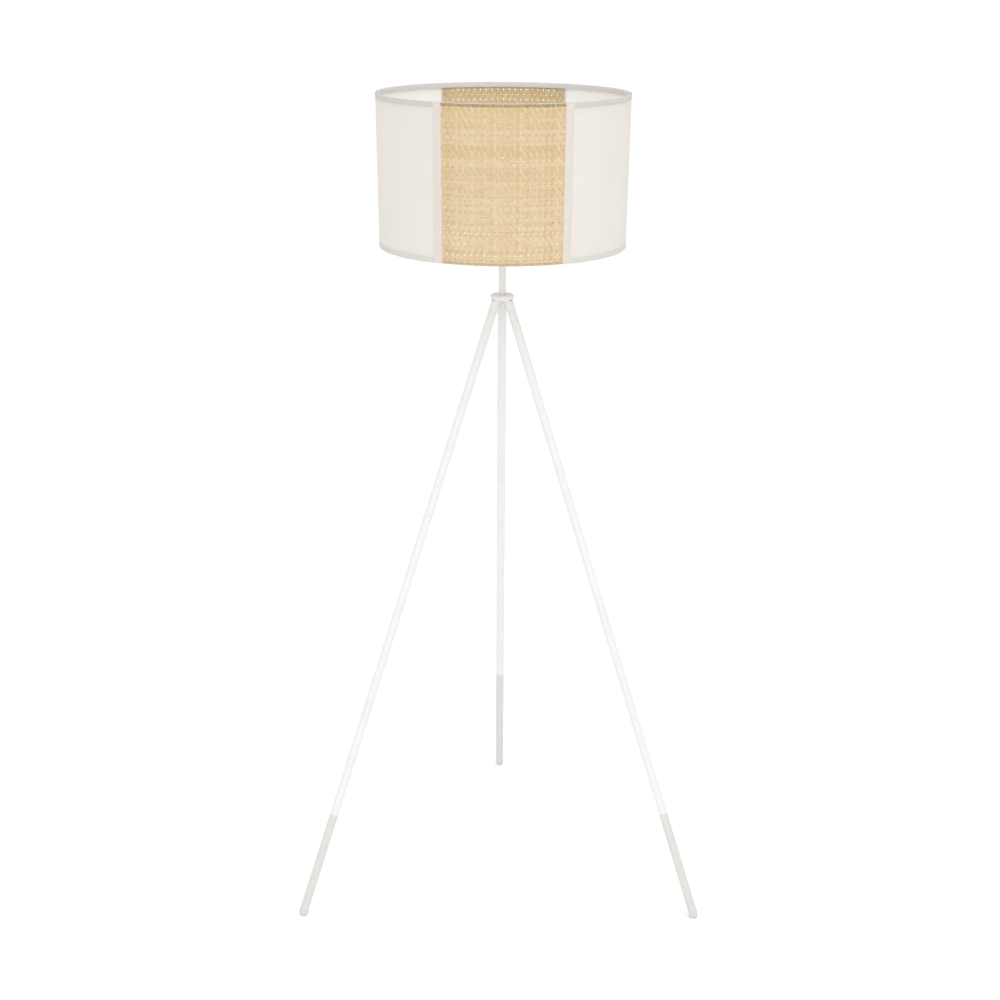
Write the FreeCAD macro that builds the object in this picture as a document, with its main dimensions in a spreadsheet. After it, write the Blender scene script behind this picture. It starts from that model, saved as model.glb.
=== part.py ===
import FreeCAD, Part
import math
import os
import re

import Sketcher

# Tripod floor lamp: three slim steel legs screwed to a round hub, a short post, a lampholder with a bulb, and a
# drum shade of two white fabric panels and two panels of woven cane on wire rings. Millimetres, +Z up. The origin
# is on the lamp's axis at floor level, the front is -Y, and one leg points to the back, along +Y.

SIZES = {
    "lamp_height": (1515, "floor to the top edge of the shade"),
    "shade_base": (1246, "height of the lower edge of the shade"),
    "shade_top_radius": (225, "outside radius of the drum at its top edge"),
    "shade_base_radius": (221.5, "outside radius of the drum at its lower edge"),
    "fabric_gauge": (1, "thickness of the fabric laminated on its stiff backing"),
    "cane_gauge": (1.6, "thickness of the woven cane"),
    "cane_angle": (61.2, "angle that each cane panel covers"),
    "seam_angle": (4, "angle that each seam strip covers"),
    "seam_centre_angle": (29.5, "from the middle of a cane panel to the middle of its seam strip"),
    "seam_gauge": (0.6, "thickness of the seam strips"),
    "hem_height": (9, "height of the hems and of the bindings behind them"),
    "hem_gauge": (0.5, "thickness of the hems"),
    "binding_gauge": (0.4, "thickness of the tape folded over the ring wires"),
    "ring_wire_radius": (2, "radius of the ring wires and the carrier's arms"),
    "slit_gap": (0.2, "gap all round an arm in its slit in the binding"),
    "slip_gap": (0.05, "gap all round a piece that is pushed in and fixed"),
    "turning_gap": (0.1, "gap between pieces that turn on each other"),
    "hub_radius": (21.5, "radius of the hub"),
    "hub_top": (1156, "height of the hub's upper face"),
    "hub_underside": (1146, "height of the hub's lower face"),
    "hub_rounding": (4.5, "rounding of the hub's edges"),
    "pipe_thread_radius": (5, "outside radius of the M10 threaded pipes"),
    "pipe_bore_radius": (4, "bore of the threaded pipes"),
    "pipe_grip": (10, "length of a threaded pipe inside the post"),
    "hub_thread_depth": (6, "depth of the threaded bore in the hub"),
    "bush_radius": (4.1, "radius of the cable bush in the hub's lower hole"),
    "bush_bore_radius": (3.3, "bore that the mains cable passes through"),
    "bush_flange": (0.8, "thickness of the bush's flange"),
    "post_radius": (6.5, "outside radius of the post"),
    "post_top": (1221, "height of the post's upper end"),
    "leg_radius": (8, "outside radius of the leg tubes"),
    "leg_wall": (1, "wall of the leg tubes"),
    "leg_top_radius": (12.6, "distance from the lamp's axis to a leg's axis at the hub's underside"),
    "leg_floor_radius": (430.5, "distance from the lamp's axis to a leg's axis at the floor"),
    "foot_sink": (0.45, "how far the rounded foot would pass through the floor before its flat is cut"),
    "foot_collar": (11, "length of a foot from its tip to the end of the tube"),
    "foot_rounding": (7, "rounding of a foot's tip"),
    "foot_plug": (12, "length of a foot's plug inside the tube"),
    "leg_stub": (20, "length of the stub welded under the hub, along its axis"),
    "stud_radius": (3.95, "radius of the M8 studs that join the leg sections"),
    "stud_bore_radius": (4, "radius of the threaded bores for the studs"),
    "stud_reach": (14, "length of a stud inside its bush"),
    "stud_root": (6, "depth of a hub stud's hole"),
    "stud_end_gap": (2, "gap between a hub stud and the end of its hole"),
    "bush_length": (18, "length of the threaded bushes in the leg tubes"),
    "plug_length": (12, "length of a stud's plug inside its tube"),
    "holder_base": (1221, "height of the lampholder's lower end"),
    "holder_neck_radius": (8, "radius of the neck of the lampholder's cap"),
    "holder_neck": (5, "height of the neck of the lampholder's cap"),
    "holder_radius": (20, "radius of the lampholder's cap"),
    "holder_bowl": (13, "height at which the cap reaches its full radius"),
    "holder_slope": (5, "how far the lower corner of the cap's bowl lies inside its radius"),
    "holder_flange_radius": (22.5, "radius of the flange that carries the shade"),
    "holder_flange": (3, "thickness of that flange"),
    "holder_wall": (2, "wall of the lampholder's cap"),
    "screw_radius": (1.5, "radius of the locking screw in the cap's neck"),
    "skirt_radius": (19.6, "radius over the thread of the lampholder's skirt"),
    "skirt_bore_radius": (14.4, "bore of the skirt, which takes an E27 bulb cap and its side contacts"),
    "skirt_top": (1275, "height of the skirt's mouth"),
    "skirt_collar": (4, "plain height of the skirt below its thread"),
    "thread_pitch": (2.5, "pitch of the thread on the skirt"),
    "thread_depth": (0.6, "depth of the thread on the skirt"),
    "insert_height": (9, "height of the insulating insert"),
    "contact_gauge": (0.5, "thickness of the contact strips"),
    "contact_width": (4, "width of the contact strips"),
    "contact_gap": (0.3, "gap between a contact and what it doesn't touch"),
    "side_contact_height": (16, "height of the side contacts"),
    "terminal_length": (3.5, "length of the live terminal"),
    "terminal_height": (2.5, "height of the live terminal"),
    "tongue_root": (9, "distance of the centre contact's root from the lamp's axis"),
    "tongue_root_height": (1.6, "height of that root above the insulating insert"),
    "tongue_bend": (1, "distance of the tongue's bend from the lamp's axis"),
    "tongue_reach": (3, "how far the tongue reaches beyond the lamp's axis"),
    "bulb_tip": (1250, "height of the bulb's lower contact"),
    "bulb_contact_radius": (4.8, "radius of the bulb's lower contact"),
    "bulb_contact_height": (1.5, "height of the bulb's lower contact"),
    "bulb_contact_rounding": (0.8, "rounding of the bulb's lower contact"),
    "insulator_radius": (5, "radius of the insulator's lower face"),
    "insulator_top": (5, "height of the insulator's upper face above the bulb's tip"),
    "bulb_cap_radius": (13.2, "radius of the bulb's E27 cap"),
    "bulb_cap_gauge": (0.5, "thickness of the cap's sheet metal"),
    "bulb_cap_rim": (4, "width of the cap's turned-in lower rim"),
    "bulb_cap_slope": (1.5, "how far the cap's lower corner lies inside its radius"),
    "bulb_cap_shoulder": (2, "height of the cap's sloping shoulder"),
    "bulb_cap_top": (1276, "height of the cap's upper edge"),
    "bulb_neck_radius": (14, "radius of the bulb's neck"),
    "globe_radius": (30, "radius of the bulb's globe"),
    "globe_height": (1326, "height of the middle of the globe"),
    "glass_gauge": (1, "thickness of the bulb's glass"),
    "carrier_bore_radius": (20.4, "bore of the carrier's ring"),
    "carrier_radius": (29, "outside radius of the carrier's ring"),
    "carrier_gauge": (1.5, "thickness of the carrier's ring"),
    "nut_bore_radius": (19.7, "bore of the shade ring"),
    "nut_flange_radius": (26, "radius of the shade ring's flange"),
    "nut_collar_radius": (23.5, "radius of the shade ring's collar"),
    "nut_flange": (2.5, "thickness of the shade ring's flange"),
    "nut_height": (9, "height of the shade ring"),
    "nut_notch_radius": (1.2, "radius of the finger notches in the shade ring's collar"),
    "wire_radius": (1.1, "radius of an insulated wire in the post"),
    "wire_start": (1, "height of a wire's lower end above the cable bush"),
    "wire_end_gap": (0.5, "gap between a wire's upper end and the insulating insert"),
    "wire_offset": (2.2, "distance of a straight wire from the lamp's axis"),
    "terminal_offset": (8, "distance of a terminal from the lamp's axis"),
}
LEGS = {"back": 90, "left": 210, "right": 330}
NOTCHES = 18
THREAD_TURNS = 9
FULL_TURN = 360

doc = FreeCAD.newDocument("TripodFloorLamp")
nodes = {}


def fill_sheet():
    """Writes the driving dimensions to the document's sheet, one row each."""
    sheet = doc.addObject("Spreadsheet::Sheet", "Sizes")
    for row, (alias, (value, meaning)) in enumerate(SIZES.items(), 1):
        sheet.set(f"A{row}", meaning)
        sheet.set(f"B{row}", str(value))
        sheet.setAlias(f"B{row}", alias)
    doc.recompute()
    return sheet


sheet = fill_sheet()


def size(alias):
    """The value of one driving dimension."""
    return float(sheet.get(alias))


def bound(text):
    """An expression in which every driving dimension is a reference to the sheet."""
    return re.sub(r"[a-z_]+", lambda word: "Sizes." + word[0] if word[0] in SIZES else word[0], str(text))


def wall_radius(height, inwards="0"):
    """Expression for the drum's outside radius at a height, less a distance inwards."""
    rise = f"({height} - shade_base) / (lamp_height - shade_base)"
    return f"shade_base_radius + (shade_top_radius - shade_base_radius) * {rise} - ({inwards})"


def leg_frame(azimuth):
    """A leg's own frame: its origin is the tip of the foot, and its Z runs up the leg's axis to the hub."""
    lean = math.degrees(math.atan2(size("leg_floor_radius") - size("leg_top_radius"), size("hub_underside")))
    turn = FreeCAD.Rotation(FreeCAD.Vector(0, 0, 1), azimuth)
    turn = turn.multiply(FreeCAD.Rotation(FreeCAD.Vector(0, 1, 0), -lean))
    outwards = FreeCAD.Vector(math.cos(math.radians(azimuth)), math.sin(math.radians(azimuth)), 0)
    tip = outwards * size("leg_floor_radius") - turn.multVec(FreeCAD.Vector(0, 0, size("foot_sink")))
    return FreeCAD.Placement(tip, turn)


def leg_length():
    """From the tip of a foot to the hub's underside, along the leg's axis."""
    run = size("leg_floor_radius") - size("leg_top_radius")
    return math.hypot(run, size("hub_underside")) + size("foot_sink")


def section_length():
    """Length of each of a leg's three equal tubes."""
    return (leg_length() - size("foot_collar") - size("leg_stub")) / 3


def origin_plane(body, role):
    """One of a body's own origin planes."""
    return next(feature for feature in body.Origin.OriginFeatures if feature.Role == role)


def new_body(name, placement=None):
    """An empty body, and its place in the lamp."""
    body = doc.addObject("PartDesign::Body", name)
    body.Placement = placement or FreeCAD.Placement()
    return body


def new_sketch(body, name, role, height="0"):
    """A sketch on one of the body's origin planes, lifted to a height."""
    sketch = body.newObject("Sketcher::SketchObject", name)
    sketch.AttachmentSupport = [(origin_plane(body, role), "")]
    sketch.MapMode = "FlatFace"
    sketch.setExpression("AttachmentOffset.Base.z", bound(height))
    return sketch


def fix(sketch, constraint, expression):
    """Adds a constraint, and binds its value to an expression."""
    index = sketch.addConstraint(constraint)
    sketch.setExpression(f"Constraints[{index}]", bound(expression))


def draw_outline(sketch, corners):
    """A closed outline with straight sides. Each corner is a pair of expressions, from the sketch's origin."""
    spots = [FreeCAD.Vector(100 + i, 100 + i * i, 0) for i in range(len(corners))]
    for start, end in zip(spots, spots[1:] + spots[:1]):
        sketch.addGeometry(Part.LineSegment(start, end), False)
    for i in range(len(corners)):
        sketch.addConstraint(Sketcher.Constraint("Coincident", i, 2, (i + 1) % len(corners), 1))
    for i, (across, up) in enumerate(corners):
        if across == "0":
            sketch.addConstraint(Sketcher.Constraint("PointOnObject", i, 1, -2))
        else:
            fix(sketch, Sketcher.Constraint("DistanceX", -1, 1, i, 1, spots[i].x), across)
        fix(sketch, Sketcher.Constraint("DistanceY", -1, 1, i, 1, spots[i].y), up)


def draw_circle(sketch, radius, centre=None):
    """A circle on the sketch's origin, or centred on a pair of expressions."""
    middle = FreeCAD.Vector(0, 0, 0) if centre is None else FreeCAD.Vector(10, 10, 0)
    index = sketch.addGeometry(Part.Circle(middle, FreeCAD.Vector(0, 0, 1), 5), False)
    fix(sketch, Sketcher.Constraint("Radius", index, 5), radius)
    if centre is None:
        sketch.addConstraint(Sketcher.Constraint("Coincident", index, 3, -1, 1))
    else:
        fix(sketch, Sketcher.Constraint("DistanceX", -1, 1, index, 3, middle.x), centre[0])
        fix(sketch, Sketcher.Constraint("DistanceY", -1, 1, index, 3, middle.y), centre[1])


def turned(name, corners, placement=None, angle=None):
    """A body turned about its own Z from an outline of (radius, height), all round or over an angle."""
    body = new_body(name, placement)
    sketch = new_sketch(body, name + "_section", "XZ_Plane")
    draw_outline(sketch, corners)
    turn = body.newObject("PartDesign::Revolution", name + "_turn")
    turn.Profile = (sketch, [""])
    turn.ReferenceAxis = (sketch, ["V_Axis"])
    turn.Angle = FULL_TURN
    if angle is not None:
        turn.Midplane = True
        turn.setExpression("Angle", bound(angle))
    sketch.Visibility = False
    doc.recompute()
    return body


def tube(name, radius, bore, low, high, placement=None):
    """A body padded from a ring between two heights, or from a disc where the bore is None."""
    body = new_body(name, placement)
    sketch = new_sketch(body, name + "_section", "XY_Plane", low)
    draw_circle(sketch, radius)
    if bore is not None:
        draw_circle(sketch, bore)
    pad = body.newObject("PartDesign::Pad", name + "_pad")
    pad.Profile = sketch
    pad.setExpression("Length", bound(f"({high}) - ({low})"))
    doc.recompute()
    return body


def round_edges(body, radius, chosen):
    """Rounds the edges of the body's tip that a test picks."""
    tip = body.Tip
    names = [f"Edge{i}" for i, edge in enumerate(tip.Shape.Edges, 1) if chosen(edge)]
    rounding = body.newObject("PartDesign::Fillet", body.Name + "_rounding")
    rounding.Base = (tip, names)
    rounding.setExpression("Radius", bound(radius))
    doc.recompute()


def is_rim(edge, height, radius):
    """Tells a full circle at a height and radius, in the body's own frame."""
    if not isinstance(edge.Curve, Part.Circle) or abs(edge.Curve.Radius - radius) > 0.01:
        return False
    return abs(edge.Curve.Center.z - height) < 0.01


def boolean(kind, name, base, tool):
    """A Part boolean of two objects, such as a Cut."""
    result = doc.addObject("Part::" + kind, name)
    result.Base = base
    result.Tool = tool
    doc.recompute()
    return result


def group(name, members):
    """Several separate solids as one object."""
    result = doc.addObject("Part::Compound", name)
    result.Links = members
    doc.recompute()
    return result


def keep(node, item):
    """Gives a finished sub-part its label, which names its file."""
    item.Label = node
    nodes[node] = item


def make_hub():
    """The round hub: a threaded bore for the post, a hole for the cable bush and three slanting stud holes."""
    body = tube("Hub", "hub_radius", None, "hub_underside", "hub_top")
    round_edges(body, "hub_rounding", lambda edge: abs(edge.Length - math.tau * size("hub_radius")) < 0.01)
    for name, radius, depth in (
        ("thread_bore", "pipe_thread_radius + slip_gap", "hub_thread_depth"),
        ("cable_hole", "bush_radius + slip_gap", "hub_top - hub_underside"),
    ):
        sketch = new_sketch(body, name + "_section", "XY_Plane", "hub_top")
        draw_circle(sketch, radius)
        pocket = body.newObject("PartDesign::Pocket", name)
        pocket.Profile = sketch
        pocket.setExpression("Length", bound(depth))
        doc.recompute()
    holes = []
    for side, azimuth in LEGS.items():
        hole = tube(
            f"StudHole_{side}",
            "stud_radius + slip_gap",
            None,
            leg_length() - size("stud_root"),
            leg_length() + size("stud_root"),
            leg_frame(azimuth),
        )
        holes.append(hole)
    keep("hub_plate", boolean("Cut", "HubPlate", body, group("StudHoles", holes)))


def make_hub_fittings():
    """What goes through the hub's middle: the cable bush and the two threaded pipes at the post's ends."""
    seat = "hub_top - hub_thread_depth"
    flange = "pipe_thread_radius"
    bush = turned(
        "CableBush",
        [
            ("bush_bore_radius", "hub_underside"),
            ("bush_radius", "hub_underside"),
            ("bush_radius", seat),
            (flange, seat),
            (flange, f"{seat} + bush_flange"),
            ("bush_bore_radius", f"{seat} + bush_flange"),
        ],
    )
    keep("cable_bush", bush)
    lower = tube("LowerPipe", "pipe_thread_radius", "pipe_bore_radius", f"{seat} + bush_flange", "hub_top + pipe_grip")
    keep("post_lower_nipple", lower)
    top = "holder_base + holder_neck + holder_wall"
    upper = tube("UpperPipe", "pipe_thread_radius", "pipe_bore_radius", "post_top - pipe_grip", top)
    keep("post_upper_nipple", upper)


def make_post():
    """The short post between the hub and the lampholder."""
    keep("post_tube", tube("Post", "post_radius", "pipe_thread_radius + slip_gap", "hub_top", "post_top"))


def make_leg(side, azimuth):
    """One leg: a rounded foot, three tubes of equal length and a stub cut to lie flat under the hub."""
    frame = leg_frame(azimuth)
    bore = "leg_radius - leg_wall"
    length = section_length()
    collar = size("foot_collar")
    for i, part_name in enumerate(("lower", "middle", "upper")):
        low = collar + i * length
        keep(f"{side}_leg_{part_name}", tube(f"{side}_{part_name}", "leg_radius", bore, low, low + length, frame))
    stub = tube(f"{side}_stub", "leg_radius", bore, collar + 3 * length, leg_length() + size("leg_radius"), frame)
    above = doc.addObject("Part::Box", f"{side}_above_hub")
    above.setExpression("Length", bound("4 * hub_radius"))
    above.setExpression("Width", bound("4 * hub_radius"))
    above.setExpression("Height", bound("4 * leg_radius"))
    above.Placement.Base = FreeCAD.Vector(-2 * size("hub_radius"), -2 * size("hub_radius"), size("hub_underside"))
    keep(f"{side}_leg_stub", boolean("Cut", f"{side}_leg_stub", stub, above))
    keep(f"{side}_foot", make_foot(side, frame))


def make_foot(side, frame):
    """A moulded foot: a plug in the tube, and a rounded tip with a small flat that stands on the floor."""
    plug = "leg_radius - leg_wall - slip_gap"
    body = turned(
        f"{side}_foot_body",
        [
            ("0", "0"),
            ("leg_radius", "0"),
            ("leg_radius", "foot_collar"),
            (plug, "foot_collar"),
            (plug, "foot_collar + foot_plug"),
            ("0", "foot_collar + foot_plug"),
        ],
        frame,
    )
    round_edges(body, "foot_rounding", lambda edge: is_rim(edge, 0, size("leg_radius")))
    floor = doc.addObject("Part::Box", f"{side}_floor")
    floor.setExpression("Length", bound("3 * leg_floor_radius"))
    floor.setExpression("Width", bound("3 * leg_floor_radius"))
    floor.setExpression("Height", bound("2 * leg_radius"))
    reach = -1.5 * size("leg_floor_radius")
    floor.Placement.Base = FreeCAD.Vector(reach, reach, -2 * size("leg_radius"))
    return boolean("Cut", f"{side}_foot_cut", body, floor)


def make_leg_joints():
    """The screwed joints of the legs, each kind as one group of three: studs, their plugs and threaded bushes."""
    first, section = size("foot_collar"), section_length()
    joints = {"lower": first + section, "upper": first + 2 * section, "hub": first + 3 * section}
    plug = "leg_radius - leg_wall - slip_gap"
    for joint, level in joints.items():
        bushes = []
        studs = []
        for side, azimuth in LEGS.items():
            frame = leg_frame(azimuth)
            name = f"{joint}_{side}"
            if joint == "hub":
                bushes.append(tube(name + "_bush", plug, "stud_bore_radius", level - size("bush_length"), level, frame))
                low = level - size("stud_reach")
                high = leg_length() + size("stud_root") - size("stud_end_gap")
                studs.append(tube(name + "_stud", "stud_radius", None, low, high, frame))
            else:
                bushes.append(tube(name + "_bush", plug, "stud_bore_radius", level, level + size("bush_length"), frame))
                corners = [
                    ("0", f"{level} - plug_length"),
                    (plug, f"{level} - plug_length"),
                    (plug, f"{level}"),
                    ("stud_radius", f"{level}"),
                    ("stud_radius", f"{level} + stud_reach"),
                    ("0", f"{level} + stud_reach"),
                ]
                studs.append(turned(name + "_stud", corners, frame))
        keep(f"{joint}_joint_bushes", group(f"{joint}_bushes", bushes))
        keep(f"{joint}_joint_studs", group(f"{joint}_studs", studs))


def make_lampholder():
    """The lampholder: a cap on the post, an insulating insert, a threaded skirt, contacts and a locking screw."""
    floor = "holder_base + holder_neck + holder_wall"
    cap = turned(
        "HolderCap",
        [
            ("pipe_thread_radius + slip_gap", "holder_base"),
            ("holder_neck_radius", "holder_base"),
            ("holder_neck_radius", "holder_base + holder_neck"),
            ("holder_radius - holder_slope", floor),
            ("holder_radius", "holder_base + holder_bowl"),
            ("holder_radius", "shade_base - holder_flange"),
            ("holder_flange_radius", "shade_base - holder_flange"),
            ("holder_flange_radius", "shade_base"),
            ("holder_radius - holder_wall", "shade_base"),
            ("holder_radius - holder_wall", "holder_base + holder_bowl + holder_wall / 2"),
            ("holder_radius - holder_slope - holder_wall / 2", f"{floor} + holder_wall"),
            ("pipe_thread_radius + slip_gap", floor),
        ],
    )
    across = FreeCAD.Rotation(FreeCAD.Vector(0, 1, 0), 90)
    height = size("holder_base") + size("holder_neck") / 2
    hole = tube("ScrewHole", "screw_radius + slip_gap", None, "0", "holder_neck_radius + holder_wall")
    hole.Placement = FreeCAD.Placement(FreeCAD.Vector(0, 0, height), across)
    keep("lampholder_cap", boolean("Cut", "LampholderCap", cap, hole))
    start = size("pipe_thread_radius")
    screw = tube("LockingScrew", "screw_radius", None, "0", "holder_neck_radius - pipe_thread_radius")
    screw.Placement = FreeCAD.Placement(FreeCAD.Vector(start + size("turning_gap"), 0, height), across)
    keep("lampholder_locking_screw", screw)
    insert = tube("Insert", "holder_radius - holder_wall - slip_gap", None, "shade_base - insert_height", "shade_base")
    keep("lampholder_insert", insert)
    keep("lampholder_skirt", make_skirt())


def make_skirt():
    """The skirt: a sleeve with an E27 bore inside and a thread for the shade ring outside, as even grooves."""
    body = tube("Skirt", "skirt_radius", "skirt_bore_radius", "shade_base", "skirt_top")
    sketch = new_sketch(body, "thread_section", "XZ_Plane")
    low = "shade_base + skirt_collar"
    draw_outline(
        sketch,
        [
            ("skirt_radius - thread_depth", f"{low} + thread_pitch / 2"),
            ("skirt_radius + thread_depth", low),
            ("skirt_radius + thread_depth", f"{low} + thread_pitch"),
        ],
    )
    groove = body.newObject("PartDesign::Groove", "thread_groove")
    groove.Profile = (sketch, [""])
    groove.ReferenceAxis = (sketch, ["V_Axis"])
    groove.Angle = FULL_TURN
    doc.recompute()
    pattern = body.newObject("PartDesign::LinearPattern", "thread_turns")
    pattern.Originals = [groove]
    pattern.Direction = (sketch, ["V_Axis"])
    pattern.Occurrences = THREAD_TURNS
    pattern.setExpression("Length", bound(f"thread_pitch * {THREAD_TURNS - 1}"))
    body.Tip = pattern
    doc.recompute()
    return body


def make_contacts():
    """The live side: a terminal and the springy tongue under the bulb. The neutral side: two strips by its cap."""
    half = size("contact_width") / 2
    base, tip = size("shade_base"), size("bulb_tip")
    root, gap = size("tongue_root"), size("contact_gap")
    terminal = doc.addObject("Part::Box", "LiveTerminal")
    terminal.setExpression("Length", bound("terminal_length"))
    terminal.setExpression("Width", bound("contact_width"))
    terminal.setExpression("Height", bound("terminal_height"))
    terminal.Placement.Base = FreeCAD.Vector(-root - gap - size("terminal_length"), -half, base)
    keep("live_terminal", terminal)
    gauge = size("contact_gauge")
    low = base + size("tongue_root_height")
    bend, reach = size("tongue_bend"), size("tongue_reach")
    upper_bend = bend + gap / 2
    side = [(-root, low), (-bend, tip - gauge), (reach, tip - gauge)]
    side += [(reach, tip), (-upper_bend, tip), (-root, low + gauge)]
    corners = [FreeCAD.Vector(x, -half, z) for x, z in side]
    face = Part.Face(Part.makePolygon(corners + corners[:1]))
    tongue = doc.addObject("Part::Feature", "CentreContact")
    tongue.Shape = face.extrude(FreeCAD.Vector(0, 2 * half, 0))
    keep("centre_contact", tongue)
    strips = []
    for name, turn in (("front", 270), ("back", 90)):
        strip = doc.addObject("Part::Box", f"side_contact_{name}")
        strip.setExpression("Length", bound("contact_gauge"))
        strip.setExpression("Width", bound("contact_width"))
        strip.setExpression("Height", bound("side_contact_height"))
        rotation = FreeCAD.Rotation(FreeCAD.Vector(0, 0, 1), turn)
        corner = rotation.multVec(FreeCAD.Vector(size("bulb_cap_radius") + gap, -half, base))
        strip.Placement = FreeCAD.Placement(corner, rotation)
        strips.append(strip)
    keep("side_contacts", group("SideContacts", strips))


def make_wires():
    """The two insulated wires in the post. Each runs straight up, then bends out to its terminal in the cap."""
    low = size("hub_top") - size("hub_thread_depth") + size("bush_flange") + size("wire_start")
    high = size("shade_base") - size("insert_height")
    bend = (size("terminal_offset") - size("wire_offset")) / 2
    for name, side in (("live_wire", -1), ("neutral_wire", 1)):
        inner = side * size("wire_offset")
        outer = side * size("terminal_offset")
        middle = (inner + outer) / 2
        last = high - size("wire_end_gap")
        first = last - 2 * bend
        diagonal = bend / math.sqrt(2)
        spots = [FreeCAD.Vector(inner, 0, low), FreeCAD.Vector(inner, 0, first)]
        lower_arc = Part.Arc(
            spots[1],
            FreeCAD.Vector(inner + side * (bend - diagonal), 0, first + diagonal),
            FreeCAD.Vector(middle, 0, first + bend),
        )
        upper_arc = Part.Arc(
            FreeCAD.Vector(middle, 0, first + bend),
            FreeCAD.Vector(outer - side * (bend - diagonal), 0, last - diagonal),
            FreeCAD.Vector(outer, 0, last),
        )
        path = Part.Wire([Part.LineSegment(*spots).toShape(), lower_arc.toShape(), upper_arc.toShape()])
        ring = Part.Wire(Part.makeCircle(size("wire_radius"), spots[0], FreeCAD.Vector(0, 0, 1)))
        wire = doc.addObject("Part::Feature", name)
        wire.Shape = path.makePipeShell([ring], True, True)
        keep(name, wire)


def glass_outline(gauge):
    """The bulb's profile, less a thickness: its neck, where its cone meets the globe, and the globe's top."""
    neck = FreeCAD.Vector(size("bulb_neck_radius") - gauge, 0, size("bulb_cap_top"))
    centre = FreeCAD.Vector(0, 0, size("globe_height"))
    radius = size("globe_radius") - gauge
    reach = (neck - centre).Length
    slope = math.asin(radius / reach) - math.atan2(neck.x, centre.z - neck.z)
    along = math.sqrt(reach**2 - radius**2)
    meeting = neck + FreeCAD.Vector(math.sin(slope), 0, math.cos(slope)) * along
    side = centre + FreeCAD.Vector(radius, 0, 0)
    top = centre + FreeCAD.Vector(0, 0, radius)
    return neck, meeting, side, top


def make_bulb():
    """The bulb: an opal glass globe, its threaded cap, the insulator under it and the lower contact."""
    shells = []
    for gauge in (0, size("glass_gauge")):
        neck, meeting, side, top = glass_outline(gauge)
        foot = FreeCAD.Vector(0, 0, neck.z)
        edges = [
            Part.LineSegment(foot, neck).toShape(),
            Part.LineSegment(neck, meeting).toShape(),
            Part.Arc(meeting, side, top).toShape(),
            Part.LineSegment(top, foot).toShape(),
        ]
        face = Part.Face(Part.Wire(edges))
        shells.append(face.revolve(FreeCAD.Vector(0, 0, 0), FreeCAD.Vector(0, 0, 1), FULL_TURN))
    glass = doc.addObject("Part::Feature", "BulbGlass")
    glass.Shape = shells[0].cut(shells[1])
    keep("bulb_glass", glass)
    cap_wall = "bulb_cap_radius - bulb_cap_gauge"
    cap_base = "bulb_tip + insulator_top"
    inner_slope = "bulb_cap_radius - bulb_cap_slope - bulb_cap_gauge"
    cap = turned(
        "BulbCap",
        [
            ("bulb_cap_radius - bulb_cap_rim", cap_base),
            ("bulb_cap_radius - bulb_cap_slope", cap_base),
            ("bulb_cap_radius", f"{cap_base} + bulb_cap_shoulder"),
            ("bulb_cap_radius", "bulb_cap_top"),
            (cap_wall, "bulb_cap_top"),
            (cap_wall, f"{cap_base} + bulb_cap_shoulder + bulb_cap_gauge"),
            (inner_slope, f"{cap_base} + bulb_cap_gauge"),
            ("bulb_cap_radius - bulb_cap_rim", f"{cap_base} + bulb_cap_gauge"),
        ],
    )
    keep("bulb_cap", cap)
    insulator = turned(
        "BulbInsulator",
        [
            ("0", "bulb_tip + bulb_contact_height"),
            ("insulator_radius", "bulb_tip + bulb_contact_height"),
            (inner_slope, cap_base),
            ("0", cap_base),
        ],
    )
    keep("bulb_insulator", insulator)
    radius = size("bulb_contact_radius")
    contact = tube("BulbContact", "bulb_contact_radius", None, "bulb_tip", "bulb_tip + bulb_contact_height")
    rims = (0, size("bulb_tip"))
    round_edges(contact, "bulb_contact_rounding", lambda edge: any(is_rim(edge, rim, radius) for rim in rims))
    keep("bulb_contact", contact)


def make_shade_ring():
    """The screwed ring that holds the shade on the lampholder, with finger notches round its collar."""
    low = "shade_base + carrier_gauge + turning_gap"
    body = turned(
        "ShadeRing",
        [
            ("nut_bore_radius", low),
            ("nut_flange_radius", low),
            ("nut_flange_radius", f"{low} + nut_flange"),
            ("nut_collar_radius", f"{low} + nut_flange"),
            ("nut_collar_radius", f"{low} + nut_height"),
            ("nut_bore_radius", f"{low} + nut_height"),
        ],
    )
    sketch = new_sketch(body, "notch_section", "XY_Plane", f"{low} + nut_height")
    draw_circle(sketch, "nut_notch_radius", ("nut_collar_radius + nut_notch_radius / 2", "0"))
    notch = body.newObject("PartDesign::Pocket", "notch")
    notch.Profile = sketch
    notch.setExpression("Length", bound("nut_height - nut_flange"))
    doc.recompute()
    pattern = body.newObject("PartDesign::PolarPattern", "notches")
    pattern.Originals = [notch]
    pattern.Axis = (sketch, ["N_Axis"])
    pattern.Angle = FULL_TURN
    pattern.Occurrences = NOTCHES
    body.Tip = pattern
    doc.recompute()
    keep("shade_ring", body)


def ring_radius(height):
    """Expression for the radius of a ring wire's centre line at a height."""
    return wall_radius(height, "cane_gauge + 2 * slip_gap + ring_wire_radius")


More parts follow.
